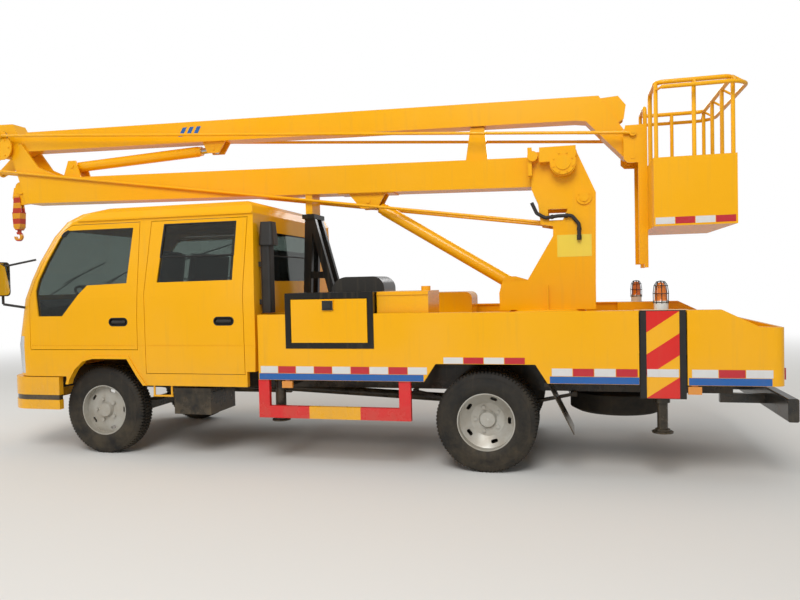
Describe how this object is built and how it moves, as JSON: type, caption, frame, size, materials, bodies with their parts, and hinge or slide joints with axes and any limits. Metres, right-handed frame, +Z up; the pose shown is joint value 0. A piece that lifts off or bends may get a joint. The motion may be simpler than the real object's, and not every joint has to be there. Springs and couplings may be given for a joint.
{
  "type": "cherry picker truck",
  "caption": "Double-cab light truck with a slewing turret, a folding boom carrying a railed work basket, side jacks and rear outriggers.",
  "frame": {"origin": "on the ground under the middle of the stowed truck, boom and basket included", "axes": "+X to the rear, +Y to the right side of the truck, +Z up; the front of the truck looks along -X"},
  "size_m": [7.452, 2.2, 3.171],
  "materials": {
    "yellow_paint": "smooth glossy yellow enamel",
    "black_frame": "satin black chassis paint",
    "engine_metal": "plain dull metal",
    "striped_paint": "yellow enamel with red slanting stripes",
    "red_paint": "worn red paint",
    "plated_pin": "zinc plated steel pin",
    "hose_rubber": "black hydraulic hose",
    "chromed_rod": "ground and chromed rod",
    "rim_paint": "silver wheel paint",
    "tyre_rubber": "black road tyre rubber",
    "window_glass": "lightly tinted window glass",
    "lamp_lens": "clear and amber lamp lenses",
    "black_plastic": "moulded dark plastic",
    "bumper_paint": "yellow bumper with a dark strip",
    "seat_cloth": "woven grey seat cloth"
  },
  "bodies": {
    "truck": {"boom_rest": "black_frame", "bumper": "bumper_paint", "cab_glass": "window_glass", "cab_shell": "yellow_paint", "chassis_frame": "black_frame", "dashboard": "black_plastic", "deck_body": "yellow_paint", "deck_boxes": "yellow_paint", "engine": "engine_metal", "front_axle": "black_frame", "guards": "red_paint", "lamps": "lamp_lens", "mirrors": "black_plastic", "rear_axle": "black_frame", "seats": "seat_cloth", "snorkel": "black_plastic", "spare_wheel": "tyre_rubber", "tanks": "black_frame", "toolbox": "black_frame"},
    "door_front_left": {"door_front_left": "yellow_paint", "glass_front_left": "window_glass"},
    "door_front_right": {"door_front_right": "yellow_paint", "glass_front_right": "window_glass"},
    "door_rear_left": {"door_rear_left": "yellow_paint", "glass_rear_left": "window_glass"},
    "door_rear_right": {"door_rear_right": "yellow_paint", "glass_rear_right": "window_glass"},
    "toolbox_door": {"toolbox_door": "yellow_paint"},
    "knuckle_left": {"knuckle_left": "black_frame"},
    "knuckle_right": {"knuckle_right": "black_frame"},
    "wheel_front_left": {"tyre_front_left": "tyre_rubber", "rim_front_left": "rim_paint"},
    "wheel_front_right": {"tyre_front_right": "tyre_rubber", "rim_front_right": "rim_paint"},
    "wheels_rear_left": {"tyres_rear_left": "tyre_rubber", "rims_rear_left": "rim_paint"},
    "wheels_rear_right": {"tyres_rear_right": "tyre_rubber", "rims_rear_right": "rim_paint"},
    "jack_left": {"jack_left": "black_frame"},
    "jack_right": {"jack_right": "black_frame"},
    "outrigger_left": {"outrigger_beam_left": "striped_paint"},
    "outrigger_right": {"outrigger_beam_right": "striped_paint"},
    "outrigger_leg_left": {"outrigger_leg_left": "black_frame"},
    "outrigger_leg_right": {"outrigger_leg_right": "black_frame"},
    "turret": {"turret": "yellow_paint", "hoses": "hose_rubber"},
    "lower_boom": {"lower_boom": "yellow_paint"},
    "level_link": {"level_link": "yellow_paint"},
    "lower_rods": {"lower_rods": "yellow_paint"},
    "rod_pins": {"rod_pins": "plated_pin"},
    "upper_boom": {"upper_boom": "yellow_paint"},
    "upper_rods": {"upper_rods": "yellow_paint"},
    "basket_pivot": {"basket_pivot": "plated_pin"},
    "basket": {"basket": "yellow_paint", "basket_mast": "yellow_paint"},
    "lift_barrel": {"lift_cylinder_barrel": "yellow_paint"},
    "lift_rod": {"lift_cylinder_rod": "chromed_rod"},
    "fold_barrel": {"fold_cylinder_barrel": "yellow_paint"},
    "fold_rod": {"fold_cylinder_rod": "chromed_rod"},
    "hook": {"hook_block": "red_paint"}
  },
  "joints": [
    {"name": "door_front_left_hinge", "type": "hinge", "parent": "truck", "child": "door_front_left", "pos_m": [-2.3715, -0.93, 1.2], "axis": [0, 0, -1], "range_deg": [0, 65]},
    {"name": "door_rear_left_hinge", "type": "hinge", "parent": "truck", "child": "door_rear_left", "pos_m": [-1.2165, -0.93, 1.2], "axis": [0, 0, -1], "range_deg": [0, 65]},
    {"name": "door_front_right_hinge", "type": "hinge", "parent": "truck", "child": "door_front_right", "pos_m": [-2.3715, 0.93, 1.2], "axis": [0, 0, 1], "range_deg": [0, 65]},
    {"name": "door_rear_right_hinge", "type": "hinge", "parent": "truck", "child": "door_rear_right", "pos_m": [-1.2165, 0.93, 1.2], "axis": [0, 0, 1], "range_deg": [0, 65]},
    {"name": "toolbox_door_hinge", "type": "hinge", "parent": "truck", "child": "toolbox_door", "pos_m": [0.444, -0.976, 0.986], "axis": [1, 0, 0], "range_deg": [0, 90]},
    {"name": "steer_left", "type": "hinge", "parent": "truck", "child": "knuckle_left", "pos_m": [-1.714, -0.66, 0.382], "axis": [0, 0, 1], "range_deg": [-30, 30]},
    {"name": "spin_front_left", "type": "hinge", "parent": "knuckle_left", "child": "wheel_front_left", "pos_m": [-1.714, -0.752, 0.382], "axis": [0, 1, 0], "continuous": true},
    {"name": "spin_rear_left", "type": "hinge", "parent": "truck", "child": "wheels_rear_left", "pos_m": [1.646, -0.7125, 0.382], "axis": [0, 1, 0], "continuous": true},
    {"name": "steer_right", "type": "hinge", "parent": "truck", "child": "knuckle_right", "pos_m": [-1.714, 0.66, 0.382], "axis": [0, 0, 1], "range_deg": [-30, 30]},
    {"name": "spin_front_right", "type": "hinge", "parent": "knuckle_right", "child": "wheel_front_right", "pos_m": [-1.714, 0.752, 0.382], "axis": [0, 1, 0], "continuous": true},
    {"name": "spin_rear_right", "type": "hinge", "parent": "truck", "child": "wheels_rear_right", "pos_m": [1.646, 0.7125, 0.382], "axis": [0, 1, 0], "continuous": true},
    {"name": "jack_left_slide", "type": "slide", "parent": "truck", "child": "jack_left", "axis": [0, 0, -1], "range_m": [0, 0.345]},
    {"name": "outrigger_left_slide", "type": "slide", "parent": "truck", "child": "outrigger_left", "axis": [0, -1, 0], "range_m": [0, 0.6]},
    {"name": "outrigger_leg_left_slide", "type": "slide", "parent": "outrigger_left", "child": "outrigger_leg_left", "axis": [0, 0, -1], "range_m": [0, 0.345]},
    {"name": "jack_right_slide", "type": "slide", "parent": "truck", "child": "jack_right", "axis": [0, 0, -1], "range_m": [0, 0.345]},
    {"name": "outrigger_right_slide", "type": "slide", "parent": "truck", "child": "outrigger_right", "axis": [0, 1, 0], "range_m": [0, 0.6]},
    {"name": "outrigger_leg_right_slide", "type": "slide", "parent": "outrigger_right", "child": "outrigger_leg_right", "axis": [0, 0, -1], "range_m": [0, 0.345]},
    {"name": "slew", "type": "hinge", "parent": "truck", "child": "turret", "pos_m": [2.083, 0, 1.2], "axis": [0, 0, 1], "continuous": true},
    {"name": "lower_boom_hinge", "type": "hinge", "parent": "turret", "child": "lower_boom", "pos_m": [2.396, 0, 2.11], "axis": [0, 1, 0], "range_deg": [0, 65]},
    {"name": "upper_boom_hinge", "type": "hinge", "parent": "lower_boom", "child": "upper_boom", "pos_m": [-3.344, 0, 2.91], "axis": [0, -1, 0], "range_deg": [0, 80]},
    {"name": "level_link_hinge", "type": "hinge", "parent": "lower_boom", "child": "level_link", "pos_m": [-3.344, 0, 2.91], "axis": [0, -1, 0], "range_deg": [0, 65]},
    {"name": "lower_rods_hinge", "type": "hinge", "parent": "turret", "child": "lower_rods", "pos_m": [2.086, 0, 1.917], "axis": [0, 1, 0], "range_deg": [0, 65]},
    {"name": "rod_pins_hinge", "type": "hinge", "parent": "level_link", "child": "rod_pins", "pos_m": [-3.344, 0, 3.03], "axis": [0, 1, 0], "range_deg": [0, 65]},
    {"name": "upper_rods_hinge", "type": "hinge", "parent": "rod_pins", "child": "upper_rods", "pos_m": [-3.344, 0, 3.03], "axis": [0, -1, 0], "range_deg": [0, 80]},
    {"name": "basket_pivot_hinge", "type": "hinge", "parent": "upper_boom", "child": "basket_pivot", "pos_m": [2.781, 0, 2.485], "axis": [0, -1, 0], "range_deg": [0, 65]},
    {"name": "basket_hinge", "type": "hinge", "parent": "basket_pivot", "child": "basket", "pos_m": [2.781, 0, 2.425], "axis": [0, 1, 0], "range_deg": [0, 80]},
    {"name": "lift_barrel_hinge", "type": "hinge", "parent": "turret", "child": "lift_barrel", "pos_m": [1.773, 0, 1.418], "axis": [0, 1, 0], "range_deg": [0, 56.59]},
    {"name": "lift_rod_slide", "type": "slide", "parent": "lift_barrel", "child": "lift_rod", "axis": [-0.8523, 0, 0.523], "range_m": [0, 0.9617]},
    {"name": "fold_barrel_hinge", "type": "hinge", "parent": "lower_boom", "child": "fold_barrel", "pos_m": [-2.578, 0, 2.69], "axis": [0, -1, 0], "range_deg": [0, 92.77]},
    {"name": "fold_rod_slide", "type": "slide", "parent": "fold_barrel", "child": "fold_rod", "axis": [0.9989, 0, 0.0479], "range_m": [0, 0.9382]},
    {"name": "hook_swing", "type": "hinge", "parent": "lower_boom", "child": "hook", "pos_m": [-3.314, 0, 2.4], "axis": [0, 1, 0], "range_deg": [-45, 45]}
  ],
  "couplings": [
    {"joint": "steer_right", "follows": "steer_left", "ratio": 1},
    {"joint": "level_link_hinge", "follows": "lower_boom_hinge", "ratio": 1},
    {"joint": "lower_rods_hinge", "follows": "lower_boom_hinge", "ratio": 1},
    {"joint": "lift_barrel_hinge", "follows": "lower_boom_hinge", "ratio": 0.86289},
    {"joint": "lift_rod_slide", "follows": "lower_boom_hinge", "m_per_rad": 0.84334},
    {"joint": "rod_pins_hinge", "follows": "lower_boom_hinge", "ratio": 1},
    {"joint": "basket_pivot_hinge", "follows": "lower_boom_hinge", "ratio": 1},
    {"joint": "upper_rods_hinge", "follows": "upper_boom_hinge", "ratio": 1},
    {"joint": "basket_hinge", "follows": "upper_boom_hinge", "ratio": 1},
    {"joint": "fold_barrel_hinge", "follows": "upper_boom_hinge", "ratio": 1.1534},
    {"joint": "fold_rod_slide", "follows": "upper_boom_hinge", "m_per_rad": 0.66836}
  ]
}
